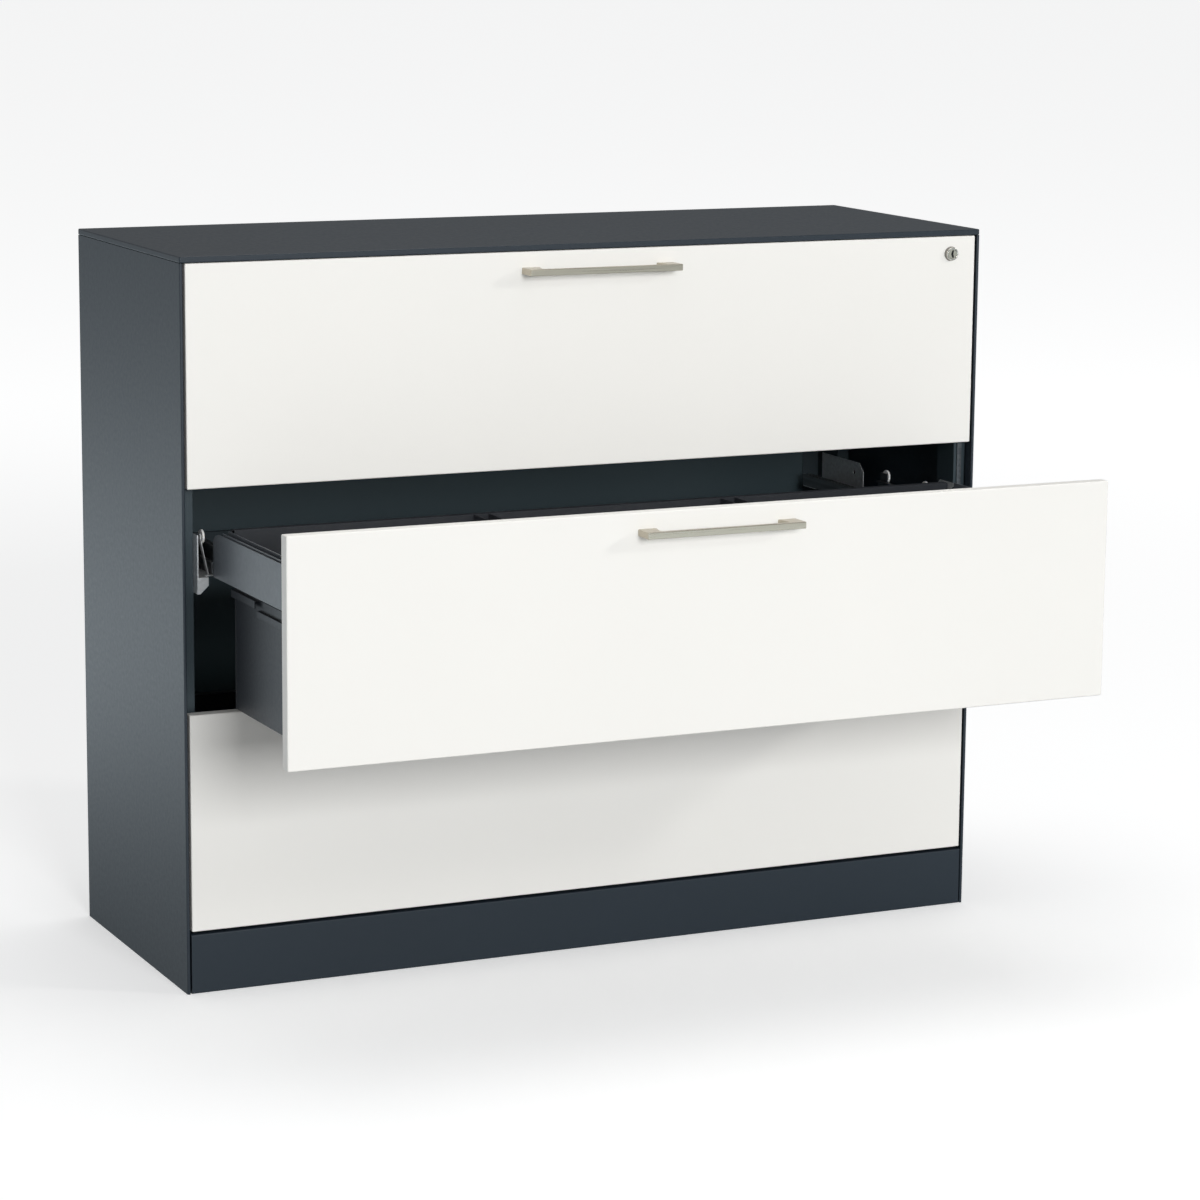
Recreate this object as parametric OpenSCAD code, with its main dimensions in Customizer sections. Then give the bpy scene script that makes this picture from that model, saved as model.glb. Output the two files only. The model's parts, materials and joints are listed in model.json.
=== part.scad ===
// Lateral filing cabinet: a free-standing sheet-steel carcass with three
// telescopic drawers, each hung for three side-by-side rows of suspension files.
// Millimetres. Origin: centre of the footprint, on the floor. +X is to the
// right seen from the front, -Y is the front, +Z is up.

/* [Carcass] */
// Overall width
body_w = 1200; // [1140:10:1260]
// Overall depth, without the handles
body_d = 435; // [435:5:480]
// Height of the plinth plate
plinth_h = 82; // [70:1:100]
// Sheet thickness of the outer skins
skin_t = 1.2; // [1:0.1:1.5]
// Sheet thickness of posts, brackets and rails
frame_t = 1.5; // [1.5:0.1:1.8]
// Height of the folded top cover
cover_h = 8; // [8:1:14]

/* [Drawers] */
// Height of one drawer front
front_h = 297; // [297:1:305]
// Vertical spacing from one drawer front to the next
pitch = 300; // [300:1:310]
// Depth of a folded drawer front
front_d = 17.5; // [17:0.5:18]
// Gap between a drawer front and the cabinet's side
reveal = 7.5; // [7:0.5:9]
// How far the middle drawer is pulled out
middle_out = 370; // [0:10:370]
// Width of one intermediate file rail
rail_w = 23; // [20:1:30]

/* [Handle and lock] */
// Overall length of a bar handle
handle_l = 228; // [200:2:260]
// Height of the handle's bar
handle_h = 9; // [8:0.5:10]
// How far a handle stands off its front
handle_out = 30; // [28:1:34]
// Handle's height above the bottom of its front
handle_z = 271; // [260:1:275]
// Distance of the lock's centre from the cabinet's right side
lock_in = 47; // [47:1:48]
// Radius of the turning lock barrel
barrel_r = 6.5; // [6:0.1:6.5]
// Travel of the locking bar
lock_lift = 8; // [8:0.5:8]

/* [Slides] */
// Radius of the nylon rollers
roller_r = 9.5; // [9:0.1:9.5]
// Radius of the roller axles
axle_r = 2.5; // [2:0.1:3]
// Radial running clearance of a roller on its axle
run_gap = 0.05; // [0.02:0.01:0.09]

/* [Hidden] */

hw = body_w / 2;                    // half width
yf = -body_d / 2;                   // front plane
yb = body_d / 2;                    // rear plane
t = skin_t;
ft = frame_t;
z_first = plinth_h + 4;             // bottom of the lowest front
z_cover = z_first + 2 * pitch + front_h + 1;   // underside of the top cover
body_h = z_cover + cover_h;
z_post = z_cover - 0.5;
z_floor = plinth_h - 18;            // underside of the floor pan
yl = yf + front_d;                  // back plane of a closed front
x_front = hw - reveal;              // half width of a front
x_post = hw - 21.5;                 // mounting plane of the posts
x_plate = x_post - ft;              // inner face of the slide brackets
x_liner = hw - 38.2;                // half width of a front's inner liner
x_ch = hw - 40;                     // outer face of a drawer side
x_pan = hw - 62;                    // outer face of the drawer tray
x_file = hw - 52;                   // outer file rail
x_slide = hw - 54;                  // centre of the telescopic slide
bay = (2 * x_file - 2 * rail_w) / 3;
y_roller = yf + 57.5;               // front roller axle
z_roller = 226.8;                   // roller axles above a front's bottom
y_rear = yf + 337.5;                // drawer's back wall when closed
lock_x = hw - lock_in;
lock_z = z_first + 2 * pitch + front_h - 24.6;
cam_r0 = 8;                         // low side of the locking cam
hook_z = 94;                        // locking hook above a front's bottom

function z0(k) = z_first + k * pitch;         // bottom of front k, 0 lowest
function pull(k) = k == 1 ? -middle_out : 0;  // where drawer k stands along Y

module box(x0, x1, y0, y1, z0, z1) translate([x0, y0, z0]) cube([x1 - x0, y1 - y0, z1 - z0]);
module side(s) if (s > 0) children(); else mirror([1, 0, 0]) children();
module both() { children(); mirror([1, 0, 0]) children(); }
// a flat outline in the Y-Z plane, given thickness along X
module yz(x0, x1, pts) translate([x0, 0, 0]) rotate([90, 0, 90]) linear_extrude(x1 - x0) polygon(pts);
// a flat outline in the X-Z plane, given thickness along Y
module xz(y0, y1, pts) translate([0, y1, 0]) rotate([90, 0, 0]) linear_extrude(y1 - y0) polygon(pts);

// ---------------------------------------------------------------- carcass
module side_panel() union() {
    box(hw - t, hw, yf, yb, 0, z_post);
    box(hw - 4.4, hw, yf, yf + t, 0, z_post);
    box(hw - 4.4, hw - 4.4 + t, yf, yl - 1, 0, z_post);
    box(hw - 25, hw, yb - t, yb, 0, z_post);
    box(hw - 20, hw, yl + 4, yb - 30, 0, t);
}
module side_panel_left() color("dimgray") side(-1) side_panel();
module side_panel_right() color("dimgray") side(1) side_panel();

module back_panel() color("dimgray") box(-hw + 1.4, hw - 1.4, yb - 2 * t, yb - t, 2, z_post);

module top_cover() color("dimgray") difference() {
    box(-hw, hw, yf, yb, z_cover, body_h);
    box(-hw + t, hw - t, yf + t, yb - t, z_cover + t, body_h - t);
    box(-hw + 24, hw - 24, yf + 24, yb - 24, z_cover - 1, z_cover + 2 * t);
}

module top_rail() color("dimgray") union() {
    box(-x_post + 0.2, x_post - 0.2, yl + 4, yl + 4 + ft, z_post - 13, z_post);
    box(-x_post + 0.2, x_post - 0.2, yl + 4, yl + 40, z_post - ft, z_post);
    box(-x_post + 0.2, x_post - 0.2, yl + 4, yl + 20, z_post - 13, z_post - 13 + ft);
}

module floor_pan() color("dimgray") union() {
    box(-hw + t + 0.2, hw - t - 0.2, yl + 4, yb - 2 * t, z_floor, z_floor + t);
    box(-hw + t + 0.2, hw - t - 0.2, yl + 4, yl + 4 + t, z_floor - 24, z_floor);
}

module plinth() color("dimgray") union() {
    box(-hw + 6.4, hw - 6.4, yf, yf + t, 0, plinth_h);
    box(-hw + 6.4, hw - 6.4, yf, yf + 19, plinth_h - t, plinth_h);
    box(-hw + 21, hw - 21, yf, yf + 26, 0, t);
    both() box(hw - 6.4 - t, hw - 6.4, yf, yf + 19, 0, plinth_h);
}

module base_rail_centre() color("dimgray") difference() {
    box(-25, 25, yf + 26, yb - 32.7, 0, z_floor);
    box(-25 + ft, 25 - ft, yf + 25, yb - 32, ft, z_floor + 1);
}

module base_rail_rear() color("dimgray") union() {
    box(-hw + 25.2, hw - 25.2, yb - 2 * t - ft, yb - 2 * t, 0, z_floor);
    box(-hw + 25.2, hw - 25.2, yb - 32.5, yb - 2 * t, 0, ft);
}

module front_post() union() {
    box(x_post, x_post + ft, yl + 3, yl + 50, z_floor + t, z_post);
    box(x_post, hw - 3, yl + 3, yl + 3 + ft, z_floor + t, z_post);
    box(x_post, hw - 3, yl + 50 - ft, yl + 50, z_floor + t, z_post);
}
module front_post_left() color("dimgray") side(-1) front_post();
module front_post_right() color("dimgray") side(1) front_post();

module rear_post() difference() {
    union() {
        box(x_post, x_post + ft, yb - 67, yb - 2 * t, z_floor + t, z_post);
        box(x_post - 26.5, x_post + ft, yb - 2 * t - ft, yb - 2 * t, z_floor + t, z_post);
        box(x_post, hw - 3, yb - 67, yb - 67 + ft, z_floor + t, z_post);
    }
    for (i = [0:16]) translate([x_post - 1, yb - 52, z_floor + 40 + i * 50]) cube([4, 5, 9]);
    for (i = [0:16]) translate([x_post - 1, yb - 27, z_floor + 40 + i * 50]) cube([4, 5, 9]);
}
module rear_post_left() color("dimgray") side(-1) rear_post();
module rear_post_right() color("dimgray") side(1) rear_post();

module back_rail() color("dimgray") union() {
    box(-x_post + 27, x_post - 27, yb - 12, yb - 12 + t, z0(1) + 119, z0(1) + 166);
    box(-x_post + 27, x_post - 27, yb - 12, yb - 2 * t, z0(1) + 166 - t, z0(1) + 166);
    box(-x_post + 27, x_post - 27, yb - 12, yb - 2 * t, z0(1) + 119, z0(1) + 119 + t);
}

// ---------------------------------------------------------------- slides
// front bracket: plate on the post, shelf, front tab and the arm of the roller
module front_bracket() {
    yz(x_plate, x_post, [[yf + 3.5, 167], [yf + 8, 159], [yf + 40, 159], [yf + 62, 175], [yf + 62, 232], [yf + 56, 238], [yf + 3.5, 238]]);
    box(x_liner + 1.2, x_post, yf + 3.5, yl + 2, 179.5, 181);
    box(x_slide - 6, x_post, yl + 2, yf + 67.5, 179.5, 181);
    xz(yf + 3.5, yf + 3.5 + ft, [[x_post, 159], [x_post - 4, 159], [x_liner + 1.2, 170], [x_liner + 1.2, 181], [x_post, 181]]);
    yz(x_ch - 4, x_ch - 2.5, [[yl + 4, 180.5], [yl + 11, 180.5], [y_roller + 4, z_roller - 3], [y_roller + 4, z_roller + 4], [y_roller - 4, z_roller + 4], [y_roller - 4, z_roller - 2]]);
    translate([x_slide + 6.6, y_roller, z_roller]) rotate([0, 90, 0]) cylinder(r = axle_r, h = x_ch - 3 - x_slide - 6.6, $fn = 48);
}
// rear bracket: plate with a cut corner on the rear post, and a shelf
module rear_bracket() difference() {
    union() {
        yz(x_plate, x_post, [[yf + 290, 167], [yb - 20, 167], [yb - 20, 228], [yf + 298, 228], [yf + 285, 215], [yf + 285, 175]]);
        box(x_slide - 6, x_post, yb - 67.5, yb - 27.5, 179.5, 181);
    }
    translate([x_plate - 1, yf + 314, 212]) rotate([0, 90, 0]) cylinder(r = 3.5, h = 4, $fn = 48);
}
module slide_brackets(k) color("silver") translate([0, 0, z0(k)]) both() { front_bracket(); rear_bracket(); }
module slide_brackets_top() slide_brackets(2);
module slide_brackets_middle() slide_brackets(1);
module slide_brackets_bottom() slide_brackets(0);

// cabinet member: a C section, open upwards, that lies on the shelves
module slide_rail() union() {
    box(x_slide - 6, x_slide + 6, yf + 21.5, yb - 27.5, 181, 182.5);
    for (s = [-1, 1]) {
        translate([x_slide + s * 5.25 - 0.75, yf + 21.5, 181]) cube([1.5, body_d - 49, 17]);
        translate([x_slide + s * 4 - 2, yf + 21.5, 196.5]) cube([4, body_d - 49, 1.5]);
    }
}
module slide_rails(k) color("silver") translate([0, 0, z0(k)]) both() slide_rail();
module slide_rails_top() slide_rails(2);
module slide_rails_middle() slide_rails(1);
module slide_rails_bottom() slide_rails(0);

// intermediate member: an I section that carries a roller at its rear end
module slide_beam() {
    box(x_slide - 4, x_slide + 4, yf + 27.5, yf + 367.5, 185, 187);
    box(x_slide - 0.75, x_slide + 0.75, yf + 27.5, yf + 367.5, 187, 218);
    box(x_slide - 4, x_slide + 4, yf + 27.5, yf + 367.5, 218, 220);
    box(x_slide + 3.4, x_slide + 5, yf + 347.5, yf + 367.5, 218, 232);
    translate([x_slide + 4, yf + 357.5, z_roller]) rotate([0, 90, 0]) cylinder(r = axle_r, h = 6.4, $fn = 48);
}
module slide_beams(k) color("dimgray") translate([0, pull(k) / 2, z0(k)]) both() slide_beam();
module slide_beams_top() slide_beams(2);
module slide_beams_middle() slide_beams(1);
module slide_beams_bottom() slide_beams(0);

module roller() translate([x_slide + 6.4, 0, 0]) rotate([0, 90, 0]) difference() {
    union() {
        cylinder(r = roller_r, h = 3, $fn = 96);
    }
    translate([0, 0, -1]) cylinder(r = axle_r + run_gap, h = 5, $fn = 48);
}
module front_rollers(k) color("white") translate([0, y_roller, z0(k) + z_roller]) both() roller();
module rear_rollers(k) color("white") translate([0, yf + 357.5 + pull(k) / 2, z0(k) + z_roller]) both() roller();
module front_rollers_top() front_rollers(2);
module front_rollers_middle() front_rollers(1);
module front_rollers_bottom() front_rollers(0);
module rear_rollers_top() rear_rollers(2);
module rear_rollers_middle() rear_rollers(1);
module rear_rollers_bottom() rear_rollers(0);

// ---------------------------------------------------------------- drawers
// folded front: skin with four returns, an inner liner, a catch for the lock
module front_panel(k) color("white") translate([0, pull(k), z0(k)]) union() {
    difference() {
        union() {
            box(-x_front, x_front, yf, yf + t, 0, front_h);
            box(-x_front, x_front, yf, yl, 0, t);
            box(-x_front, x_front, yf, yl, front_h - t, front_h);
            box(-x_front, -x_front + t, yf, yl, 0, front_h);
            box(x_front - t, x_front, yf, yl, 0, front_h);
            box(-x_liner, x_liner, yl - t, yl, 0, front_h);
        }
        for (s = [-1, 1]) translate([s * (handle_l / 2 - 12), yf - 1, handle_z]) rotate([-90, 0, 0]) cylinder(r = 2.1, h = 3, $fn = 32);
        if (k == 2) {
            translate([lock_x, yf - 1, lock_z - z0(2)]) rotate([-90, 0, 0]) cylinder(r = 9, h = 3, $fn = 64);
            box(lock_x - 21, x_liner + 1, yl - 2 * t, yl + 1, front_h - 47, front_h - 1.6);
        }
    }
    box(x_front - 12, x_front - t + 0.1, yf + t - 0.1, yf + 10.5, hook_z + 20, hook_z + 20 + t);
    box(x_front - 12, x_front - t + 0.1, yf + 10.5 - t, yf + 10.5, hook_z + 10, hook_z + 20 + t);
}
module front_panel_top() front_panel(2);
module front_panel_middle() front_panel(1);
module front_panel_bottom() front_panel(0);

// bar handle with two flat legs
module bar_handle() difference() {
    translate([0, 0, -handle_h / 2]) linear_extrude(handle_h) polygon([
        [-handle_l / 2, 0], [-handle_l / 2, -handle_out], [handle_l / 2, -handle_out], [handle_l / 2, 0],
        [handle_l / 2 - 26, 0], [handle_l / 2 - 21, -handle_out + 9], [handle_l / 2 - 24, -handle_out + 6],
        [-handle_l / 2 + 24, -handle_out + 6], [-handle_l / 2 + 21, -handle_out + 9], [-handle_l / 2 + 26, 0]]);
    for (s = [-1, 1]) translate([s * (handle_l / 2 - 12), -14, 0]) rotate([-90, 0, 0]) cylinder(r = 2.1, h = 15, $fn = 32);
}
module handle(k) color("darkgray") translate([0, pull(k) + yf, z0(k) + handle_z]) bar_handle();
module handle_top() handle(2);
module handle_middle() handle(1);
module handle_bottom() handle(0);

// pan-head screws, driven from inside the front into the handle's legs
module handle_screws(k) color("silver") translate([0, pull(k) + yf, z0(k) + handle_z])
    for (s = [-1, 1]) translate([s * (handle_l / 2 - 12), 0, 0]) rotate([-90, 0, 0]) difference() {
        union() {
            translate([0, 0, -12]) cylinder(r = 2, h = 14, $fn = 32);
            translate([0, 0, t]) cylinder(r = 4, h = 2.6, $fn = 48);
        }
        for (a = [0, 90]) rotate([0, 0, a]) translate([-2.2, -0.5, t + 1.2]) cube([4.4, 1, 3]);
    }
module handle_screws_top() handle_screws(2);
module handle_screws_middle() handle_screws(1);
module handle_screws_bottom() handle_screws(0);

// drawer side: outer wall with a rounded rear corner, grooved top, hanging
// rail, inner wall, and the runner that takes the slide's upper flange
module drawer_side() union() {
    ye = yf + 363.5;
    yz(x_ch - t, x_ch, concat([[yl, 183], [ye, 183]],
        [for (i = [0:10]) [ye - 28 + 28 * cos(i * 9), 229 + 14 * sin(i * 9)]], [[yl, 243]]));
    box(x_pan, x_ch, yl, ye - 28, 236.8, 238);
    box(x_ch - 4.7, x_ch - 3.5, yl, ye - 28, 237.5, 245.5);
    box(x_file - 0.5, x_file + 1, yl, ye - 28, 237.5, 248);
    box(x_pan, x_pan + t, yl, y_rear, 172, 238);
    box(x_pan - 8, x_ch, yl, yl + t, 183, 243);
    // runner
    box(x_pan + t - 0.1, x_slide + 6, yl + 2, ye - 28, 222, 223.5);
    box(x_slide + 4.5, x_slide + 6, yl + 2, ye - 28, 214, 223.5);
    box(x_pan + t - 0.1, x_slide - 4.5, yl + 2, ye - 28, 214, 223.5);
    box(x_slide + 2, x_slide + 6, yl + 2, ye - 28, 214, 215.5);
    box(x_pan + t - 0.1, x_slide - 2, yl + 2, ye - 28, 214, 215.5);
}
module drawer_side_at(k, s) color("gray") translate([0, pull(k), z0(k)]) side(s) drawer_side();
module drawer_side_left_top() drawer_side_at(2, -1);
module drawer_side_left_middle() drawer_side_at(1, -1);
module drawer_side_left_bottom() drawer_side_at(0, -1);
module drawer_side_right_top() drawer_side_at(2, 1);
module drawer_side_right_middle() drawer_side_at(1, 1);
module drawer_side_right_bottom() drawer_side_at(0, 1);

// tray: floor, two side walls with folded rims, a low front wall
module tray_half() {
    box(0, x_pan, yl + t, y_rear, 8, 8 + t);
    box(x_pan - t, x_pan, yl + t, y_rear, 8, 170);
    box(0, x_pan, yl + t, yl + 2 * t, 8, 60);
    box(x_pan - t, x_pan + 7, y_rear - 90, y_rear, 170 - t, 170);
    box(x_pan + 7 - t, x_pan + 7, y_rear - 90, y_rear, 160, 170);
    box(x_pan - t, x_pan + 4.5, yl + t, y_rear - 92, 157 - t, 157);
    box(x_pan + 4.5 - t, x_pan + 4.5, yl + t, y_rear - 92, 148, 157);
}
module drawer_tray(k) color("gray") translate([0, pull(k), z0(k)]) union() both() tray_half();
module drawer_tray_top() drawer_tray(2);
module drawer_tray_middle() drawer_tray(1);
module drawer_tray_bottom() drawer_tray(0);

module drawer_back(k) color("gray") translate([0, pull(k), z0(k)]) union() {
    box(-x_pan - t, x_pan + t, y_rear, y_rear + t, 8, 248);
    box(-x_pan - t, x_pan + t, y_rear, y_rear + 13, 248 - t, 248);
    box(-x_pan - t, x_pan + t, y_rear + 13 - t, y_rear + 13, 240, 248);
}
module drawer_back_top() drawer_back(2);
module drawer_back_middle() drawer_back(1);
module drawer_back_bottom() drawer_back(0);

// two front-to-back rails that part the three rows of files
module file_rails(k) color("gray") translate([0, pull(k), z0(k)]) both() union() {
    box(bay / 2, bay / 2 + rail_w, yl, y_rear, 232, 232 + t);
    box(bay / 2, bay / 2 + t, yl, y_rear, 232, 248);
    box(bay / 2 + rail_w - t, bay / 2 + rail_w, yl, y_rear, 232, 248);
}
module file_rails_top() file_rails(2);
module file_rails_middle() file_rails(1);
module file_rails_bottom() file_rails(0);

// ---------------------------------------------------------------- lock
// rosette and tube of the lock, turned about the lock's axis
module lock_housing() color("silver") translate([lock_x, yf, lock_z]) rotate([90, 0, 0]) rotate_extrude($fn = 96)
    polygon([[barrel_r + 0.05, -9.5], [8.9, -9.5], [8.9, 0], [10.25, 0], [10.25, 1.6], [9.7, 2.4], [9.2, 5.6],
        [8.6, 6.4], [barrel_r + 0.9, 6.4], [barrel_r + 0.05, 5.6]]);

// barrel with key slot, and the spiral cam that lifts the locking bar
module lock_barrel() color("silver") translate([lock_x, yf, lock_z]) union() {
    difference() {
        rotate([90, 0, 0]) translate([0, 0, -10.2]) cylinder(r = barrel_r, h = 16, $fn = 96);
        xz(-7, -0.5, [[-0.3, 4.8], [1.7, 4.8], [0.3, -0.2], [1.9, -4.8], [-0.1, -4.8], [-1.9, -0.2]]);
    }
    translate([0, 12.9, 0]) rotate([90, 0, 0]) linear_extrude(3) polygon(concat(
        [for (i = [0:15]) let (a = 90 + i * 6, r = cam_r0 + lock_lift * i / 15) [r * cos(a), r * sin(a)]],
        [for (i = [0:12]) let (a = 195 + i * 20) [7.4 * cos(a), 7.4 * sin(a)]]));
}

// vertical bar in front of the right-hand post, with a finger over the cam
// and one hook for each drawer front
module lock_bar() color("silver") union() {
    box(hw - 17, hw - 10, yl + 0.6, yl + 2.6, z0(0) + 60, lock_z + 13.4);
    box(hw - 17, hw - 10, yf + 9.9, yl + 2.6, lock_z + cam_r0 + 1.4, lock_z + 13.4);
    box(lock_x - 8, hw - 10, yf + 9.9, yf + 12.9, lock_z + cam_r0 + 1.4, lock_z + 13.4);
    for (k = [0:2]) {
        box(hw - 17, hw - 10, yf + 5.5, yl + 2.6, z0(k) + hook_z - 4, z0(k) + hook_z);
        box(hw - 17, hw - 10, yf + 5.5, yf + 8, z0(k) + hook_z - 4, z0(k) + hook_z + 8);
    }
}

side_panel_left();
side_panel_right();
back_panel();
top_cover();
top_rail();
floor_pan();
plinth();
base_rail_centre();
base_rail_rear();
front_post_left();
front_post_right();
rear_post_left();
rear_post_right();
back_rail();
lock_bar();
lock_housing();
lock_barrel();
slide_brackets_top();
slide_brackets_middle();
slide_brackets_bottom();
slide_rails_top();
slide_rails_middle();
slide_rails_bottom();
slide_beams_top();
slide_beams_middle();
slide_beams_bottom();
front_rollers_top();
front_rollers_middle();
front_rollers_bottom();
rear_rollers_top();
rear_rollers_middle();
rear_rollers_bottom();
front_panel_top();
front_panel_middle();
front_panel_bottom();
handle_top();
handle_middle();
handle_bottom();
handle_screws_top();
handle_screws_middle();
handle_screws_bottom();
drawer_side_left_top();
drawer_side_left_middle();
drawer_side_left_bottom();
drawer_side_right_top();
drawer_side_right_middle();
drawer_side_right_bottom();
drawer_tray_top();
drawer_tray_middle();
drawer_tray_bottom();
drawer_back_top();
drawer_back_middle();
drawer_back_bottom();
file_rails_top();
file_rails_middle();
file_rails_bottom();
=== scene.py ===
import json
import math

import bmesh
import bpy
from mathutils import Matrix, Vector

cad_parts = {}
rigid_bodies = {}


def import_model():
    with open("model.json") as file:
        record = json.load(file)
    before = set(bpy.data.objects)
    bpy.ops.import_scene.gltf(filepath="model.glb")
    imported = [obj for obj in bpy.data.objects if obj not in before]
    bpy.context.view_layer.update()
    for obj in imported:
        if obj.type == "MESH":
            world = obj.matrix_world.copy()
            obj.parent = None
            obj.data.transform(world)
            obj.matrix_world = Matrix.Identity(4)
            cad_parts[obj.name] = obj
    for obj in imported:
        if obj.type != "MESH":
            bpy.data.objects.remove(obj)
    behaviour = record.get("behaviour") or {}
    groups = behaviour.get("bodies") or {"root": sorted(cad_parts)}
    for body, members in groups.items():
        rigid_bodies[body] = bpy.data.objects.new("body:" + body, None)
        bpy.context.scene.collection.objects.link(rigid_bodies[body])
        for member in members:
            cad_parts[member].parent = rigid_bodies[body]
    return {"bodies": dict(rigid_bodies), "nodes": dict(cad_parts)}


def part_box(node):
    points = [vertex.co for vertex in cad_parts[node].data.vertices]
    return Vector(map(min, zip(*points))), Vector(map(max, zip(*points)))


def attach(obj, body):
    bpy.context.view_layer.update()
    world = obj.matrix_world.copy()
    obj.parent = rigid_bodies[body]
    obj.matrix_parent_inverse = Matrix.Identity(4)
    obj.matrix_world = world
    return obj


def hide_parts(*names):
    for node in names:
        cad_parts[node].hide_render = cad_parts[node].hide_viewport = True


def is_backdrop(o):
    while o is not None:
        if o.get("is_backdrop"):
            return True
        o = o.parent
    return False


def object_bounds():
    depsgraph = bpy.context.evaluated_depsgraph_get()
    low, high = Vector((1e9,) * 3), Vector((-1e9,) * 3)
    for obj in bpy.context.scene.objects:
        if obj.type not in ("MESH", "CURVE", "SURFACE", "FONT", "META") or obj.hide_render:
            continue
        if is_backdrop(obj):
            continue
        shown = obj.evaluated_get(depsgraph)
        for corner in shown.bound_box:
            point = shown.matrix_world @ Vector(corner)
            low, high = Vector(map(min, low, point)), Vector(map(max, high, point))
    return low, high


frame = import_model()
CAD_LO, CAD_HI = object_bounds()
NODES, BODIES = frame["nodes"], frame["bodies"]
MM = 0.001
LEVELS = ("bottom", "middle", "top")

# ------------------------------------------------------------------ camera


def make_camera():
    yaw, pitch, roll = (math.radians(a) for a in (25.14, -10.68, 0.506))
    fwd = Vector((math.sin(yaw) * math.cos(pitch), math.cos(yaw) * math.cos(pitch), math.sin(pitch)))
    right = Vector((math.cos(yaw), -math.sin(yaw), 0))
    up = right.cross(fwd)
    r2 = math.cos(roll) * right + math.sin(roll) * up
    u2 = -math.sin(roll) * right + math.cos(roll) * up
    data = bpy.data.cameras.new("camera")
    data.sensor_width, data.lens = 36, 114.69
    data.clip_start, data.clip_end = 0.1, 200
    cam = bpy.data.objects.new("camera", data)
    bpy.context.scene.collection.objects.link(cam)
    m = Matrix((r2, u2, -fwd)).transposed().to_4x4()
    m.translation = Vector((-2.205, -4.930, 1.478))
    cam.matrix_world = m
    bpy.context.scene.camera = cam


make_camera()

# --------------------------------------------------------------- materials


def srgb(r, g, b):
    return tuple((c / 255 / 12.92 if c / 255 <= 0.04045 else ((c / 255 + 0.055) / 1.055) ** 2.4) for c in (r, g, b)) + (1,)


class Mat:
    """A principled material with helper calls for its texture nodes."""

    def __init__(self, name, rough=0.5, metal=0.0, **sockets):
        self.m = bpy.data.materials.new(name)
        self.m.use_nodes = True
        self.nt = self.m.node_tree
        self.b = self.nt.nodes["Principled BSDF"]
        self.b.inputs["Roughness"].default_value = rough
        self.b.inputs["Metallic"].default_value = metal
        for k, v in sockets.items():
            self.b.inputs[k.replace("_", " ")].default_value = v
        self.tc = self.nt.nodes.new("ShaderNodeTexCoord")

    def node(self, kind, **props):
        n = self.nt.nodes.new(kind)
        for k, v in props.items():
            if k in n.inputs:
                n.inputs[k].default_value = v
            else:
                setattr(n, k, v)
        return n

    def link(self, a, b):
        self.nt.links.new(a, b)

    def coords(self, scale=(1, 1, 1)):
        mp = self.nt.nodes.new("ShaderNodeMapping")
        mp.inputs["Scale"].default_value = scale
        self.link(self.tc.outputs["Object"], mp.inputs["Vector"])
        return mp.outputs["Vector"]

    def noise(self, scale, detail=2.0, rough=0.5, stretch=(1, 1, 1), distortion=0.0):
        n = self.node("ShaderNodeTexNoise", Scale=scale, Detail=detail, Roughness=rough, Distortion=distortion)
        self.link(self.coords(stretch), n.inputs["Vector"])
        return n.outputs["Fac"]

    def ramp(self, fac, stops, interp="LINEAR"):
        r = self.nt.nodes.new("ShaderNodeValToRGB")
        r.color_ramp.interpolation = interp
        while len(r.color_ramp.elements) < len(stops):
            r.color_ramp.elements.new(0.5)
        for e, (p, c) in zip(r.color_ramp.elements, stops):
            e.position, e.color = p, c
        self.link(fac, r.inputs["Fac"])
        return r.outputs["Color"]

    def range(self, fac, lo, hi, f0=0.3, f1=0.7):
        r = self.node("ShaderNodeMapRange")
        r.inputs["From Min"].default_value, r.inputs["From Max"].default_value = f0, f1
        r.inputs["To Min"].default_value, r.inputs["To Max"].default_value = lo, hi
        self.link(fac, r.inputs["Value"])
        return r.outputs["Result"]

    def mix(self, fac, a, b, kind="MIX"):
        n = self.nt.nodes.new("ShaderNodeMix")
        n.data_type, n.blend_type = "RGBA", kind
        for sock, v in ((n.inputs[0], fac), (n.inputs[6], a), (n.inputs[7], b)):
            if isinstance(v, bpy.types.NodeSocket):
                self.link(v, sock)
            else:
                sock.default_value = v
        return n.outputs[2]

    def bump(self, height, strength, dist, before=None):
        n = self.node("ShaderNodeBump", Strength=strength, Distance=dist)
        self.link(height, n.inputs["Height"])
        if before is not None:
            self.link(before, n.inputs["Normal"])
        return n.outputs["Normal"]

    def out(self, **socks):
        for k, v in socks.items():
            self.link(v, self.b.inputs[k.replace("_", " ")])
        return self.m


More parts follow.
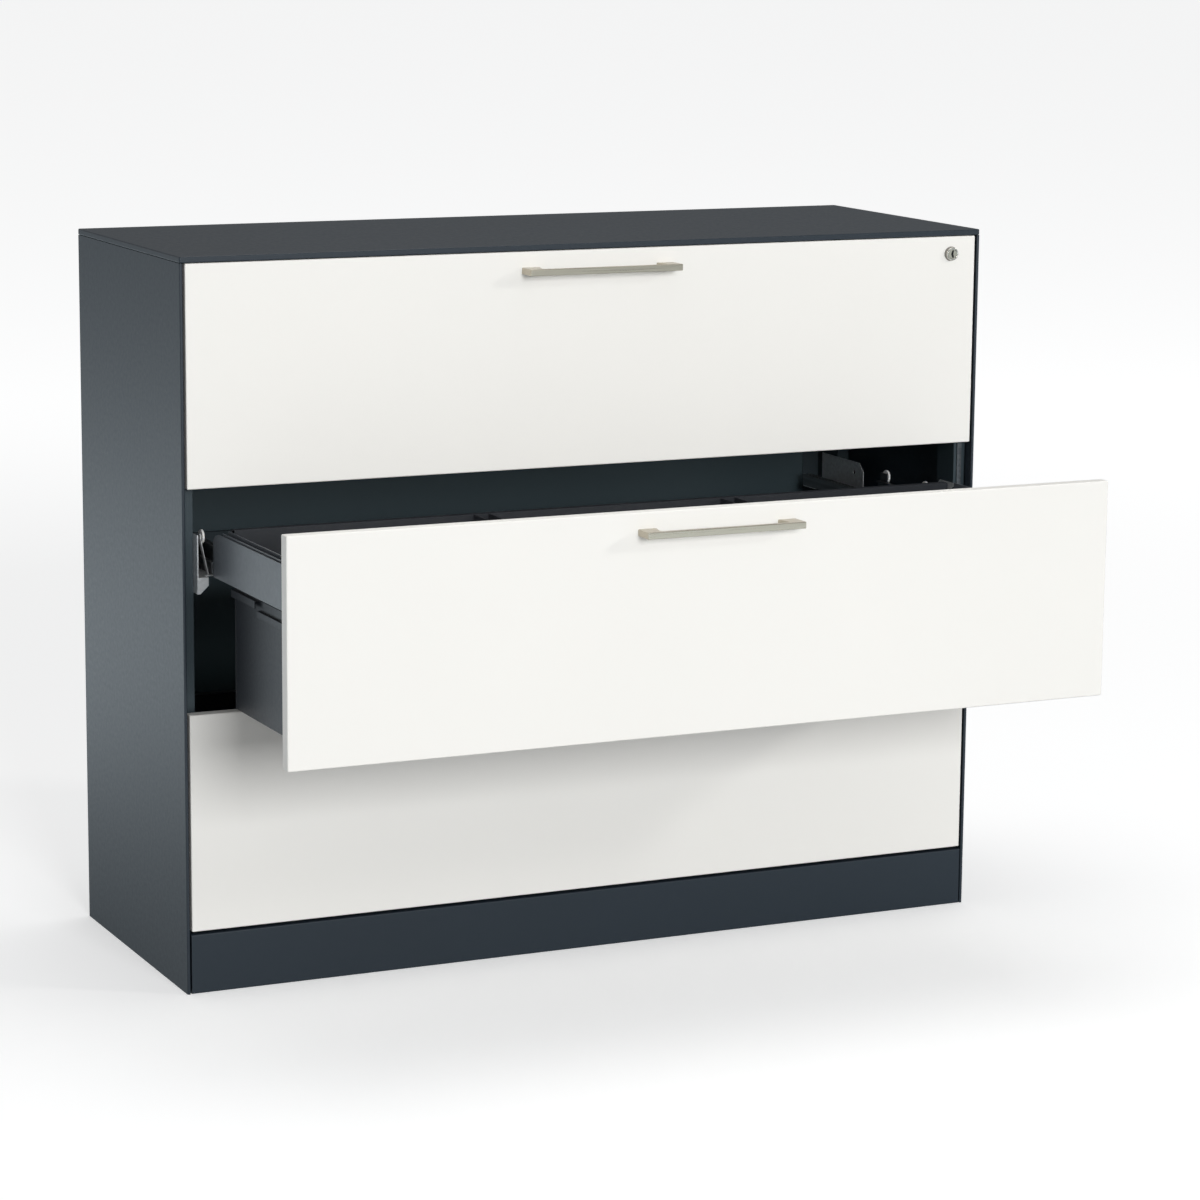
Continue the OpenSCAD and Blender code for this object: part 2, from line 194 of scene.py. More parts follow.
def powder_coat(name, colour, rough, peel=0.10, specular=0.5, spread=0.05, speck=None, painted_light_inside=None):
    """Baked powder paint: fine orange peel, faint cloudiness, a trace of fine grain."""
    m = Mat(name, rough=rough)
    m.b.inputs["Specular IOR Level"].default_value = specular
    cloud = m.noise(2.1, 3.0, 0.6)
    dark = tuple(c * (1 - spread) for c in colour[:3]) + (1,)
    light = tuple(min(1, c * (1 + spread)) for c in colour[:3]) + (1,)
    base = m.ramp(cloud, [(0.3, dark), (0.7, light)])
    grain = m.noise(2600, 1.0, 0.5)
    base = m.mix(m.range(grain, 0.0, 0.10, 0.35, 0.75), base, speck or light)
    if painted_light_inside:
        # painted light: the face turned to the drawers, in front of the depth given, is painted a lighter colour,
        # as if more light fell on it
        sep = m.node("ShaderNodeSeparateXYZ")
        m.link(m.tc.outputs["Object"], sep.inputs[0])
        face = m.range(sep.outputs["Y"], 1.0, 0.0, painted_light_inside[0] * MM, (painted_light_inside[0] + 0.1) * MM)
        base = m.mix(face, base, painted_light_inside[1])
    peel_a = m.noise(420, 2.0, 0.5)
    peel_b = m.noise(1500, 1.0, 0.5)
    n = m.bump(peel_a, peel, 0.0006)
    n = m.bump(peel_b, peel * 0.6, 0.0002, n)
    r = m.range(m.noise(160, 3.0, 0.6), rough - 0.03, rough + 0.04)
    return m.out(Base_Color=base, Roughness=r, Normal=n)


def galvanised(name, tint=(0.62, 0.64, 0.66), rough=0.36):
    """Zinc-coated sheet: crystalline spangle in brightness and roughness, rolling lines."""
    m = Mat(name, rough=rough, metal=0.6)
    v = m.node("ShaderNodeTexVoronoi", Scale=240.0, Randomness=1.0)
    m.link(m.coords((1, 1, 1)), v.inputs["Vector"])
    sp = m.node("ShaderNodeSeparateColor")
    m.link(v.outputs["Color"], sp.inputs["Color"])
    a = tuple(c * 0.92 for c in tint) + (1,)
    b = tuple(min(1, c * 1.07) for c in tint) + (1,)
    base = m.ramp(sp.outputs["Red"], [(0.0, a), (1.0, b)])
    lines = m.noise(60, 3.0, 0.5, (1, 0.2, 4))
    base = m.mix(m.range(lines, 0, 0.12), base, tuple(c * 0.85 for c in tint) + (1,))
    r = m.range(sp.outputs["Green"], rough - 0.04, rough + 0.05, 0, 1)
    n = m.bump(lines, 0.03, 0.0002)
    return m.out(Base_Color=base, Roughness=r, Normal=n)


def rolled_steel(name, tint, rough=0.42):
    """Dark passivated slide steel with drawing lines along its length."""
    m = Mat(name, rough=rough, metal=0.85)
    lines = m.noise(220, 4.0, 0.65, (1, 0.012, 1))
    spots = m.noise(38, 4.0, 0.7)
    a = tuple(c * 0.75 for c in tint) + (1,)
    b = tuple(min(1, c * 1.2) for c in tint) + (1,)
    base = m.ramp(lines, [(0.35, a), (0.65, b)])
    base = m.mix(m.range(spots, 0, 0.3), base, a)
    n = m.bump(lines, 0.12, 0.0002)
    return m.out(Base_Color=base, Roughness=m.range(lines, rough - 0.07, rough + 0.07), Normal=n)


def brushed(name, tint, rough=0.3, along="x", lines_strength=0.10):
    """Brushed nickel: hair-fine grinding lines along one axis."""
    m = Mat(name, rough=rough, metal=1.0)
    st = {"x": (0.012, 1, 1), "y": (1, 0.012, 1), "z": (1, 1, 0.012)}[along]
    fine = m.noise(3200, 3.0, 0.7, st)
    wide = m.noise(700, 2.0, 0.5, st)
    a = tuple(c * 0.86 for c in tint) + (1,)
    b = tuple(min(1, c * 1.08) for c in tint) + (1,)
    base = m.ramp(fine, [(0.3, a), (0.7, b)])
    base = m.mix(m.range(wide, 0, 0.25), base, a)
    n = m.bump(fine, lines_strength, 0.0001)
    r = m.range(wide, rough - 0.05, rough + 0.07)
    return m.out(Base_Color=base, Roughness=r, Normal=n)


def turned(name, tint, centre, rough=0.24, shade=None):
    """Turned and plated metal: concentric tool marks about an axis along Y.

    shade is a list of (y in mm, factor) stops that darken the metal by depth: painted shade, deeper into the
    recess."""
    m = Mat(name, rough=rough, metal=1.0)
    mp = m.nt.nodes.new("ShaderNodeMapping")
    mp.vector_type = "POINT"
    mp.inputs["Location"].default_value = (-centre[0], -centre[1], -centre[2])
    m.link(m.tc.outputs["Object"], mp.inputs["Vector"])
    w = m.node("ShaderNodeTexWave", Scale=700.0, Distortion=1.2, Detail=2.0)
    w.wave_type, w.rings_direction = "RINGS", "Y"
    w.inputs["Detail Scale"].default_value = 3.0
    m.link(mp.outputs["Vector"], w.inputs["Vector"])
    a = tuple(c * 0.84 for c in tint) + (1,)
    b = tuple(min(1, c * 1.08) for c in tint) + (1,)
    base = m.ramp(w.outputs["Fac"], [(0.1, a), (0.9, b)])
    # painted shade: the base colour is darkened by depth along Y
    if shade:
        sep = m.node("ShaderNodeSeparateXYZ")
        m.link(m.tc.outputs["Object"], sep.inputs[0])
        y0, y1 = shade[0][0], shade[-1][0]
        depth = m.range(sep.outputs["Y"], 0.0, 1.0, y0 * MM, y1 * MM)
        base = m.mix(1.0, base, m.ramp(depth, [((y - y0) / (y1 - y0), (f, f, f, 1)) for y, f in shade]), "MULTIPLY")
    n = m.bump(w.outputs["Fac"], 0.06, 0.0001)
    return m.out(Base_Color=base, Roughness=m.range(m.noise(300, 3), rough - 0.04, rough + 0.06), Normal=n)


def nylon(name, tint):
    m = Mat(name, rough=0.42)
    m.b.inputs["Subsurface Weight"].default_value = 0.12
    m.b.inputs["Subsurface Radius"].default_value = (0.002, 0.0016, 0.0012)
    m.b.inputs["Subsurface Scale"].default_value = 1.0
    base = m.ramp(m.noise(140, 3.0), [(0.3, tuple(c * 0.93 for c in tint[:3]) + (1,)), (0.7, tint)])
    n = m.bump(m.noise(1200, 2.0), 0.06, 0.0002)
    return m.out(Base_Color=base, Roughness=m.range(m.noise(500, 2.0), 0.36, 0.48), Normal=n)


ANTHRACITE = powder_coat("anthracite_powder_coat", srgb(30, 40, 49), 0.41, peel=0.05, specular=0.44, speck=srgb(54, 62, 70))
WHITE = powder_coat("white_powder_coat", srgb(248, 246, 241), 0.42, peel=0.04, specular=0.45, spread=0.008, speck=srgb(248, 248, 246))
DRAWER = powder_coat("drawer_powder_coat", srgb(78, 83, 89), 0.38, peel=0.05, specular=0.6, speck=srgb(92, 96, 101))
TRAY = powder_coat("tray_powder_coat", srgb(42, 45, 50), 0.42, peel=0.05, specular=0.4, speck=srgb(66, 70, 75))
GALV = galvanised("zinc_spangle", (0.82, 0.83, 0.84), 0.34)
SLIDE = rolled_steel("slide_steel_drawn", (0.13, 0.14, 0.15))
RAIL = rolled_steel("rail_steel_drawn", (0.34, 0.35, 0.36), 0.38)
NICKEL = brushed("brushed_nickel", (0.50, 0.455, 0.37))
NYLON = nylon("white_nylon", srgb(250, 250, 247))
PLATED = galvanised("plated_screw_steel", (0.66, 0.66, 0.64), 0.28)

# ---------------------------------------------------------------- geometry


def finish_mesh(ob, sharp=38, weighted=True):
    me = ob.data
    me.shade_smooth()
    me.set_sharp_from_angle(angle=math.radians(sharp))
    if weighted:
        w = ob.modifiers.new("weighted", "WEIGHTED_NORMAL")
        w.keep_sharp, w.weight, w.mode = True, 80, "FACE_AREA"
    return ob


def piece(name, bm, mat, body, slot, *nodes, sharp=38, weighted=True):
    """A new visible piece from a bmesh in millimetres."""
    bmesh.ops.scale(bm, vec=(MM, MM, MM), verts=bm.verts)
    bmesh.ops.recalc_face_normals(bm, faces=bm.faces)
    me = bpy.data.meshes.new(name)
    bm.to_mesh(me)
    bm.free()
    ob = bpy.data.objects.new(name, me)
    bpy.context.scene.collection.objects.link(ob)
    me.materials.append(mat)
    finish_mesh(ob, sharp, weighted)
    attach(ob, body)
    if nodes:
        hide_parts(*nodes)
    return ob


def arc_path(path, r, seg=6):
    """A polyline with each inner corner turned into an arc of radius r (one number, or one per corner)."""
    out = [Vector(path[0])]
    for i in range(1, len(path) - 1):
        a, b, c = (Vector(p) for p in path[i - 1 : i + 2])
        ri = r[i - 1] if isinstance(r, (list, tuple)) else r
        d1, d2 = (a - b).normalized(), (c - b).normalized()
        ang = d1.angle(d2)
        if ri <= 0 or ang > math.pi - 1e-3:
            out.append(b)
            continue
        cut = ri / math.tan(ang / 2)
        centre = b + (d1 + d2).normalized() * (ri / math.sin(ang / 2))
        p1, p2 = b + d1 * cut, b + d2 * cut
        v1, v2 = p1 - centre, p2 - centre
        turn = math.atan2(v1.x * v2.y - v1.y * v2.x, v1.dot(v2))
        for k in range(seg + 1):
            t = turn * k / seg
            out.append(centre + Vector((v1.x * math.cos(t) - v1.y * math.sin(t), v1.x * math.sin(t) + v1.y * math.cos(t))))
    out.append(Vector(path[-1]))
    return out


def fold(path, t, r_out, seg=6):
    """Two side lines of a folded sheet whose mid-line is path."""
    mid = arc_path(path, [max(r - t / 2, 0.05) for r in r_out] if isinstance(r_out, (list, tuple)) else max(r_out - t / 2, 0.05), seg)
    a, b = [], []
    for i, p in enumerate(mid):
        if i == 0:
            d = (mid[1] - p).normalized()
        elif i == len(mid) - 1:
            d = (p - mid[-2]).normalized()
        else:
            d = ((mid[i + 1] - p).normalized() + (p - mid[i - 1]).normalized()).normalized()
        n = Vector((-d.y, d.x))
        a.append(p + n * t / 2)
        b.append(p - n * t / 2)
    return a, b


PLACE = {
    "x": lambda p, h: (h, p.x, p.y),
    "y": lambda p, h: (p.x, h, p.y),
    "z": lambda p, h: (p.x, p.y, h),
}


def sweep(bm, lines, axis, h0, h1):
    """Extrudes the folded sheet along an axis, with closed ends."""
    a, b = lines
    put = PLACE[axis]
    rows = [[[bm.verts.new(put(p, h)) for p in line] for line in (a, b)] for h in (h0, h1)]
    n = len(a)
    for k in range(2):
        for i in range(n - 1):
            bm.faces.new((rows[0][k][i], rows[0][k][i + 1], rows[1][k][i + 1], rows[1][k][i]))
    for h in range(2):
        for i in range(n - 1):
            bm.faces.new((rows[h][0][i], rows[h][0][i + 1], rows[h][1][i + 1], rows[h][1][i]))
    for i in (0, n - 1):
        bm.faces.new((rows[0][0][i], rows[0][1][i], rows[1][1][i], rows[1][0][i]))
    return bm


def rrect(x0, x1, z0, z1, r, seg=5):
    pts = []
    r = max(r, 0.02)
    for cx, cz, a0 in ((x1 - r, z1 - r, 0), (x0 + r, z1 - r, 90), (x0 + r, z0 + r, 180), (x1 - r, z0 + r, 270)):
        for k in range(seg + 1):
            a = math.radians(a0 + 90 * k / seg)
            pts.append(Vector((cx + r * math.cos(a), cz + r * math.sin(a))))
    return pts


def shell(bm, rect, loops, axis, rc, cap_first=False, cap_last=True, join=False):
    """Stacked rounded rectangles: loops is a list of (inset, height)."""
    x0, x1, z0, z1 = rect
    put = PLACE[axis]
    rings = []
    for inset, h in loops:
        rings.append([bm.verts.new(put(p, h)) for p in rrect(x0 + inset, x1 - inset, z0 + inset, z1 - inset, max(rc - inset, 0.25))])
    n = len(rings[0])
    pairs = list(zip(rings, rings[1:])) + ([(rings[-1], rings[0])] if join else [])
    for r0, r1 in pairs:
        for i in range(n):
            bm.faces.new((r0[i], r0[(i + 1) % n], r1[(i + 1) % n], r1[i]))
    if cap_first and not join:
        bm.faces.new(rings[0])
    if cap_last and not join:
        bm.faces.new(rings[-1])
    return rings


def quarter(r, seg=6, flip=False):
    """(inset, depth) pairs along a quarter round, from the wall to the face."""
    return [(r - r * math.cos(math.radians(90 * k / seg)), r * math.sin(math.radians(90 * k / seg))) for k in range(seg + 1)]


def block(bm, x0, x1, y0, y1, z0, z1, bevel=0.0, seg=2):
    """A box, optionally with rounded edges, joined to bm."""
    part = bmesh.new()
    m = Matrix.Translation(((x0 + x1) / 2, (y0 + y1) / 2, (z0 + z1) / 2)) @ Matrix.Diagonal((x1 - x0, y1 - y0, z1 - z0, 1))
    bmesh.ops.create_cube(part, size=1, matrix=m)
    if bevel > 0:
        bmesh.ops.bevel(part, geom=part.edges[:], offset=bevel, segments=seg, profile=0.5, affect="EDGES", clamp_overlap=True)
    tmp = bpy.data.meshes.new("tmp")
    part.to_mesh(tmp)
    part.free()
    bm.from_mesh(tmp)
    bpy.data.meshes.remove(tmp)
    return bm


def outline_prism(bm, pts, axis, h0, h1, bevel, seg=3):
    """A flat outline with thickness and rounded rims on both faces."""
    put = PLACE[axis]
    n = len(pts)
    area = sum(pts[i].x * pts[(i + 1) % n].y - pts[(i + 1) % n].x * pts[i].y for i in range(n))
    if area < 0:
        pts = pts[::-1]

    def inset(d):
        res = []
        for i, p in enumerate(pts):
            e1, e2 = (p - pts[i - 1]).normalized(), (pts[(i + 1) % n] - p).normalized()
            n1, n2 = Vector((-e1.y, e1.x)), Vector((-e2.y, e2.x))
            m = n1 + n2
            res.append(p + m * (d / max(0.3, m.dot(n1))))
        return res

    rings = []
    q = quarter(bevel, seg) if bevel > 0 else [(0, 0)]
    for i, dep in [(a, h0 + bevel - b) for a, b in q][::-1] + [(a, h1 - bevel + b) for a, b in q]:
        rings.append([bm.verts.new(put(p, dep)) for p in inset(i)])
    for r0, r1 in zip(rings, rings[1:]):
        for i in range(n):
            bm.faces.new((r0[i], r0[(i + 1) % n], r1[(i + 1) % n], r1[i]))
    bm.faces.new(rings[0])
    bm.faces.new(rings[-1])
    return bm


def refine(node, mat, width=0.3, seg=2, angle=32):
    """Keeps a CAD node: welds and rounds its edges with modifiers, and gives it its material."""
    ob = NODES[node]
    for s in ob.material_slots:
        s.material = mat
    w = ob.modifiers.new("weld", "WELD")
    w.merge_threshold = 1e-5
    d = ob.modifiers.new("planar", "DECIMATE")
    d.decimate_type, d.angle_limit = "DISSOLVE", math.radians(0.4)
    if width:
        b = ob.modifiers.new("bevel", "BEVEL")
        b.width, b.segments, b.limit_method, b.angle_limit = width * MM, seg, "ANGLE", math.radians(angle)
        b.use_clamp_overlap = False
    n = ob.modifiers.new("weighted", "WEIGHTED_NORMAL")
    n.keep_sharp, n.weight, n.mode = False, 80, "FACE_AREA"
    return ob


def mm_box(node):
    lo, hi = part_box(node)
    return [c / MM for c in lo] + [c / MM for c in hi]


# ------------------------------------------------------------ carcass skin
HW, YF, YB = CAD_HI.x / MM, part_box("top_cover")[0].y / MM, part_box("top_cover")[1].y / MM
T = 1.2
Z_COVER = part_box("top_cover")[0].z / MM
Z_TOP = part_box("top_cover")[1].z / MM
YL = YF + 17.5

for side, s in (("left", -1), ("right", 1)):
    node = f"side_panel_{side}"
    z1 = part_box(node)[1].z / MM
    bm = bmesh.new()
    path = [(s * (HW - 4.4 + T / 2), YL - 1), (s * (HW - 4.4 + T / 2), YF + T / 2), (s * (HW - T / 2), YF + T / 2),
            (s * (HW - T / 2), YB - T / 2), (s * (HW - 25), YB - T / 2)]
    sweep(bm, fold(path, T, [1.5, 1.7, 1.9]), "z", 0, z1)
    block(bm, *sorted((s * (HW - 20), s * (HW - T))), YL + 4, YB - 30, 0, T)
    piece(f"{node}_folded", bm, ANTHRACITE, "carcass", "anthracite_paint", node)

bm = bmesh.new()
h = Z_TOP - Z_COVER
outer = [(24, 0), (1.3, 0)] + [(1.3 - 1.3 * math.sin(math.radians(a)), 1.3 - 1.3 * math.cos(math.radians(a))) for a in (15, 30, 45, 60, 75, 90)]
outer += [(i, h - 1.6 + d) for i, d in quarter(1.6, 8)]
inner = [(24, T), (T, T), (T, h - T)]
rings_o = shell(bm, (-HW, HW, YF, YB), [(i, Z_COVER + d) for i, d in outer], "z", 2.4)
rings_i = shell(bm, (-HW, HW, YF, YB), [(i, Z_COVER + d) for i, d in inner], "z", 2.4)
n = len(rings_o[0])
for i in range(n):
    bm.faces.new((rings_o[0][i], rings_o[0][(i + 1) % n], rings_i[0][(i + 1) % n], rings_i[0][i]))
piece("top_cover_folded", bm, ANTHRACITE, "carcass", "anthracite_paint", "top_cover")

lo = mm_box("plinth")
bm = bmesh.new()
path = [(YF + 26, T / 2), (YF + T / 2, T / 2), (YF + T / 2, lo[5] - T / 2), (YF + 19, lo[5] - T / 2)]
sweep(bm, fold(path, T, 1.9), "x", lo[0], lo[3])
for s in (-1, 1):
    block(bm, *sorted((s * (lo[3] - T), s * lo[3])), YF + 0.9, YF + 19, 0.6, lo[5] - 0.6)
piece("plinth_folded", bm, ANTHRACITE, "carcass", "anthracite_paint", "plinth")

# ------------------------------------------------------------ drawer fronts
for k, level in enumerate(LEVELS):
    node = f"front_panel_{level}"
    body = f"drawer_{level}"
    x0, y0, z0, x1, y1, z1 = mm_box(node)
    bm = bmesh.new()
    r = 1.8
    outer = [(0.0, y1), (0.0, y0 + r)] + [(i, y0 + r - d) for i, d in quarter(r, 7)][1:]
    inner = [(T, y1), (T, y0 + T)]
    ro = shell(bm, (x0, x1, z0, z1), outer, "y", 1.6)
    ri = shell(bm, (x0, x1, z0, z1), inner, "y", 1.6)
    n = len(ro[0])
    for i in range(n):
        bm.faces.new((ro[0][i], ro[0][(i + 1) % n], ri[0][(i + 1) % n], ri[0][i]))
    # inner liner with a shallow turned rim, and the lock catch
    xl = x1 - 30.7
    if level == "top":
        # the liner stops short of the lock, so the locking bar's finger passes
        nx = (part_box("lock_housing")[0].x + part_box("lock_housing")[1].x) / 2 / MM - 21
        za, zb, zn = z0 + T + 0.4, z1 - T - 0.4, z1 - 47
        outline_prism(bm, [Vector(p) for p in ((-xl, za), (xl, za), (xl, zn), (nx, zn), (nx, zb), (-xl, zb))], "y", y1 - 1.2, y1, 0.35)
    else:
        block(bm, -xl, xl, y1 - 1.2, y1, z0 + T + 0.4, z1 - T - 0.4, 0.35)
    block(bm, x1 - 12, x1 - T + 0.2, y0 + T - 0.1, y0 + 10.5, z0 + 114, z0 + 115.2, 0.25)
    block(bm, x1 - 12, x1 - T + 0.2, y0 + 9.3, y0 + 10.5, z0 + 104, z0 + 115.2, 0.25)
    piece(f"{node}_folded", bm, WHITE, body, "white_paint", node)

    # bar handle
    node = f"handle_{level}"
    hx0, hy0, hz0, hx1, hy1, hz1 = mm_box(node)
    L, out, hh = (hx1 - hx0) / 2, hy1 - hy0, hz1 - hz0
    raw = [(-L, 0.9), (-L, -out), (L, -out), (L, 0.9), (L - 26.5, 0.9), (L - 21, -out + 9), (L - 24, -out + 6),
           (-L + 24, -out + 6), (-L + 21, -out + 9), (-L + 26.5, 0.9)]
    closed = [raw[-1]] + raw + [raw[0]]
    radii = [0, 1.6, 1.6, 0, 0, 1.2, 1.2, 1.2, 1.2, 0]
    pts = arc_path(closed, radii, 6)[1:-1]
    bm = bmesh.new()
    outline_prism(bm, [Vector((p.x, p.y + hy1)) for p in pts], "z", hz0, hz1, 0.9, 4)
    piece(f"{node}_bar", bm, NICKEL, body, "nickel", node, sharp=50)

# ------------------------------------------------ CAD nodes that stay shown
# painted light: the posts and rails inside get a lighter copy of the anthracite paint, as if more light reached in
INSIDE_PAINTED_LIGHT = powder_coat("inner_coat_painted_light", srgb(50, 62, 68), 0.43, peel=0.05, specular=0.4, speck=srgb(66, 78, 84))
# painted light: the back panel's face turned to the drawers gets a lighter copy of the anthracite paint
BACK = powder_coat("back_powder_coat_lit_inside", srgb(30, 40, 49), 0.41, peel=0.05, specular=0.44, speck=srgb(54, 62, 70),
                   painted_light_inside=(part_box("back_panel")[0].y / MM + 0.4, srgb(62, 78, 84)))
for n in ("base_rail_centre", "base_rail_rear", "floor_pan"):
    refine(n, ANTHRACITE, 0.3)
for n in ("top_rail", "front_post_left", "front_post_right", "rear_post_left", "rear_post_right", "back_rail"):
    refine(n, INSIDE_PAINTED_LIGHT, 0.3)
refine("back_panel", BACK, 0.3)
refine("lock_bar", SLIDE, 0.3)
LOCK_AXIS = list((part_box("lock_housing")[0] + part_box("lock_housing")[1]) / 2)
LOCK_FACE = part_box("lock_barrel")[0].y / MM
# painted shade: the rosette is darkened from its front rim back towards the door face
refine("lock_housing", turned("turned_nickel_rosette", (0.74, 0.71, 0.65), LOCK_AXIS, 0.24,
                              [(YF - 6.4, 1.0), (YF - 5.4, 0.9), (YF - 4.6, 0.42), (YF - 1.6, 0.36), (YF, 0.3)]), 0.15, 2, 30)
# painted shade: the barrel goes near black just behind its face, where the lock's recess lies in shade
refine("lock_barrel", turned("turned_nickel_barrel", (0.58, 0.55, 0.46), LOCK_AXIS, 0.3,
                             [(LOCK_FACE, 1.0), (LOCK_FACE + 0.15, 0.9), (LOCK_FACE + 0.5, 0.04), (YF - 0.2, 0.02), (YF, 1.0)]), 0.12, 2, 30)
# painted shade: a near-black plate stands in for the dark of the key slot, turning with the barrel
lx, lz = LOCK_AXIS[0] / MM, LOCK_AXIS[2] / MM
bm = bmesh.new()
outline_prism(bm, [Vector((lx + x, lz + z)) for x, z in ((-1.0, 5.2), (2.2, 5.2), (0.9, -0.2), (2.5, -5.2), (-0.8, -5.2), (-2.7, -0.2))],
              "y", LOCK_FACE - 0.03, LOCK_FACE + 0.3, 0)
# painted shade: near-black colour for the shade inside the key slot
KEY_SLOT_SHADE = Mat("key_slot_painted_shade", rough=0.6)
KEY_SLOT_SHADE.out(Base_Color=KEY_SLOT_SHADE.ramp(KEY_SLOT_SHADE.noise(900, 2.0), [(0.3, (0.0015, 0.0015, 0.0018, 1)), (0.7, (0.004, 0.004, 0.0045, 1))]))
KEY_SLOT_SHADE.b.inputs["Specular IOR Level"].default_value = 0.15
piece("key_slot_shade_plate", bm, KEY_SLOT_SHADE.m, "lock_barrel", "nickel")
for level in LEVELS:
    refine(f"slide_brackets_{level}", GALV, 0.25)
    refine(f"slide_rails_{level}", RAIL, 0.25)
    refine(f"slide_beams_{level}", SLIDE, 0.25)
    refine(f"front_rollers_{level}", NYLON, 0.5, 3)
    refine(f"rear_rollers_{level}", NYLON, 0.5, 3)
    refine(f"handle_screws_{level}", PLATED, 0.15)
    for part, coat in (("drawer_side_left", DRAWER), ("drawer_side_right", DRAWER), ("drawer_tray", TRAY), ("drawer_back", TRAY), ("file_rails", TRAY)):
        refine(f"{part}_{level}", coat, 0.3)

# -------------------------------------------------------------------- stage


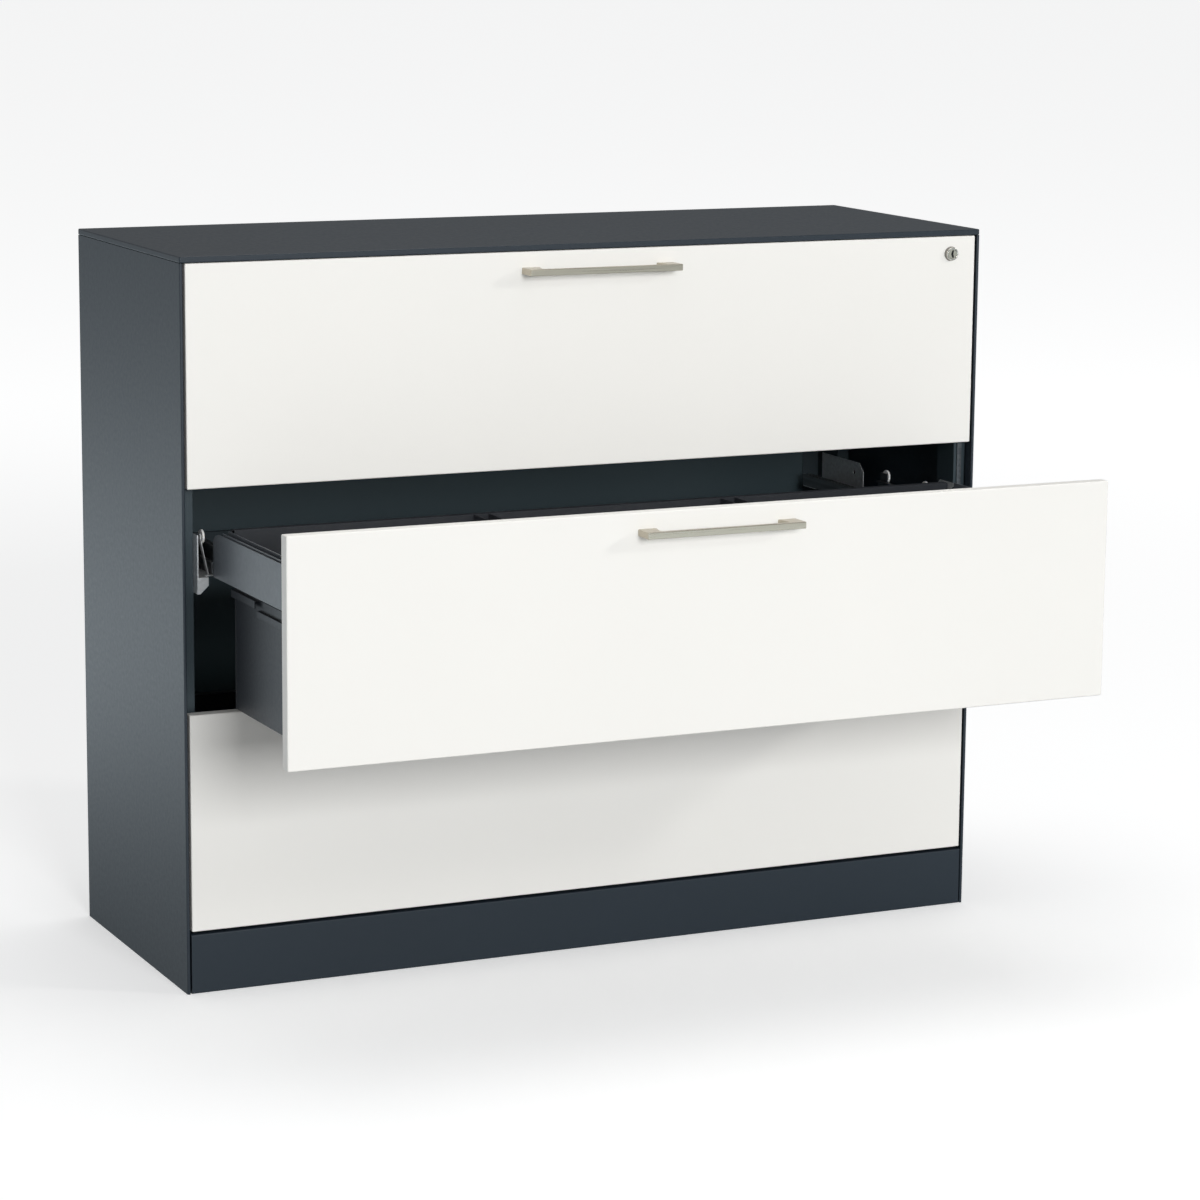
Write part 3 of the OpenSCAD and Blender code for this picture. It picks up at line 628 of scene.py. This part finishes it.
def stage_floor():
    bm = bmesh.new()
    bmesh.ops.create_circle(bm, cap_ends=True, radius=60, segments=96)
    me = bpy.data.meshes.new("floor")
    bm.to_mesh(me)
    bm.free()
    ob = bpy.data.objects.new("floor", me)
    bpy.context.scene.collection.objects.link(ob)
    m = bpy.data.materials.new("pale_floor")
    m.use_nodes = True
    nt = m.node_tree
    b = nt.nodes["Principled BSDF"]
    b.inputs["Base Color"].default_value = (0.86, 0.86, 0.86, 1)
    b.inputs["Roughness"].default_value = 0.9
    b.inputs["Specular IOR Level"].default_value = 0.0
    b.inputs["Emission Color"].default_value = (1, 1, 1, 1)
    ramp = nt.nodes.new("ShaderNodeMapRange")
    ramp.interpolation_type = "SMOOTHSTEP"
    for k, v in (("From Min", 1.2), ("From Max", 6.0), ("To Min", 0.37), ("To Max", 0.60)):
        ramp.inputs[k].default_value = v
    tc, dist = nt.nodes.new("ShaderNodeTexCoord"), nt.nodes.new("ShaderNodeVectorMath")
    dist.operation = "LENGTH"
    nt.links.new(tc.outputs["Object"], dist.inputs[0])
    nt.links.new(dist.outputs["Value"], ramp.inputs["Value"])
    nt.links.new(ramp.outputs["Result"], b.inputs["Emission Strength"])
    # light that the floor throws back onto matt faces is held down, as under a studio flag
    flag, lp, mix = nt.nodes.new("ShaderNodeBsdfDiffuse"), nt.nodes.new("ShaderNodeLightPath"), nt.nodes.new("ShaderNodeMixShader")
    flag.inputs["Color"].default_value = (0.45, 0.45, 0.45, 1)
    nt.links.new(lp.outputs["Is Diffuse Ray"], mix.inputs[0])
    nt.links.new(b.outputs[0], mix.inputs[1])
    nt.links.new(flag.outputs[0], mix.inputs[2])
    # what gloss sees of the floor: cool, and brightest a few paces out
    sheen, band, tenth, last = (nt.nodes.new(k) for k in ("ShaderNodeEmission", "ShaderNodeValToRGB", "ShaderNodeMath", "ShaderNodeMixShader"))
    sheen.inputs["Color"].default_value = (0.84, 0.94, 1.0, 1)
    tenth.operation = "MULTIPLY"
    tenth.inputs[1].default_value = 0.1
    nt.links.new(dist.outputs["Value"], tenth.inputs[0])
    stops = ((0.05, 0.38), (0.12, 0.75), (0.2, 1.5), (0.36, 1.6), (0.6, 0.6), (1.0, 0.4))
    while len(band.color_ramp.elements) < len(stops):
        band.color_ramp.elements.new(0.5)
    for e, (pos, v) in zip(band.color_ramp.elements, stops):
        e.position, e.color = pos, (v, v, v, 1)
    nt.links.new(tenth.outputs[0], band.inputs["Fac"])
    nt.links.new(band.outputs["Color"], sheen.inputs["Strength"])
    nt.links.new(lp.outputs["Is Glossy Ray"], last.inputs[0])
    nt.links.new(mix.outputs[0], last.inputs[1])
    nt.links.new(sheen.outputs[0], last.inputs[2])
    nt.links.new(last.outputs[0], nt.nodes["Material Output"].inputs["Surface"])
    me.materials.append(m)
    ob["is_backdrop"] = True


def world(weights):
    """Soft surround light: white to the camera, and for light a smooth sum of zenith, horizon and side glows."""
    w = bpy.data.worlds.new("studio")
    bpy.context.scene.world = w
    w.use_nodes = True
    nt = w.node_tree
    nt.nodes.clear()

    def math_node(op, a, b=None, clamp=False):
        n = nt.nodes.new("ShaderNodeMath")
        n.operation, n.use_clamp = op, clamp
        for i, v in enumerate((a, b)):
            if isinstance(v, bpy.types.NodeSocket):
                nt.links.new(v, n.inputs[i])
            elif v is not None:
                n.inputs[i].default_value = v
        return n.outputs[0]

    tc, sep = nt.nodes.new("ShaderNodeTexCoord"), nt.nodes.new("ShaderNodeSeparateXYZ")
    nt.links.new(tc.outputs["Generated"], sep.inputs[0])
    x, y, z = (sep.outputs[i] for i in range(3))
    band = math_node("SUBTRACT", 1.0, math_node("ABSOLUTE", z))
    band = math_node("MULTIPLY", band, band)
    glow = {
        "even": 1.0,
        "zenith": math_node("MAXIMUM", z, 0.0),
        "front": math_node("MULTIPLY", band, math_node("MAXIMUM", math_node("MULTIPLY", y, -1.0), 0.0)),
        "back": math_node("MULTIPLY", band, math_node("MAXIMUM", y, 0.0)),
        "left": math_node("MULTIPLY", band, math_node("MAXIMUM", math_node("MULTIPLY", x, -1.0), 0.0)),
        "right": math_node("MULTIPLY", band, math_node("MAXIMUM", x, 0.0)),
    }
    total = 0.0
    for k, v in weights.items():
        total = math_node("ADD", math_node("MULTIPLY", glow[k], v), total)
    out = nt.nodes.new("ShaderNodeOutputWorld")
    mix = nt.nodes.new("ShaderNodeMixShader")
    lp = nt.nodes.new("ShaderNodeLightPath")
    seen, light = nt.nodes.new("ShaderNodeBackground"), nt.nodes.new("ShaderNodeBackground")
    seen.inputs["Color"].default_value = (0.93, 0.935, 0.94, 1)
    light.inputs["Color"].default_value = (0.985, 0.995, 1, 1)
    nt.links.new(total, light.inputs["Strength"])
    nt.links.new(lp.outputs["Is Camera Ray"], mix.inputs[0])
    nt.links.new(light.outputs[0], mix.inputs[1])
    nt.links.new(seen.outputs[0], mix.inputs[2])
    nt.links.new(mix.outputs[0], out.inputs[0])


def area(name, at, to, sx, sy, power, colour=(1, 1, 1)):
    d = bpy.data.lights.new(name, "AREA")
    d.shape, d.size, d.size_y, d.energy, d.color = "RECTANGLE", sx, sy, power, colour
    ob = bpy.data.objects.new(name, d)
    bpy.context.scene.collection.objects.link(ob)
    ob.location = at
    ob.rotation_mode = "QUATERNION"
    ob.rotation_quaternion = (Vector(to) - Vector(at)).to_track_quat("-Z", "Y")
    ob.visible_camera = False
    return ob


def toward(azimuth, elevation, dist, target=(0.1, -0.3, 0.6)):
    """A place seen from the front of the cabinet at that azimuth (to the right) and elevation."""
    a, e = math.radians(azimuth), math.radians(elevation)
    return Vector(target) + dist * Vector((math.sin(a) * math.cos(e), -math.cos(a) * math.cos(e), math.sin(e)))


stage_floor()
T0 = (0.1, -0.3, 0.6)
GLOW = {"even": 0.03, "zenith": 0.42, "left": 0.72, "right": 0.12, "back": 0.12}
POWER = {"key": 165, "front_fill": 1205, "top_box": 44}
world(GLOW)
area("key", toward(55, 21, 11), T0, 1.0, 1.0, POWER["key"], (1, 0.985, 0.96))
area("front_fill", toward(-4, 14, 14.0), T0, 5.0, 4.0, POWER["front_fill"], (0.98, 0.99, 1))
area("top_box", (0.2, 0.4, 4.2), (0, 0, 0.5), 2.5, 2.0, POWER["top_box"])

vs = bpy.context.scene.view_settings
vs.view_transform = "Standard"
vs.look = "None"
vs.exposure, vs.gamma = 0.0, 1.0

lo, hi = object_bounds()
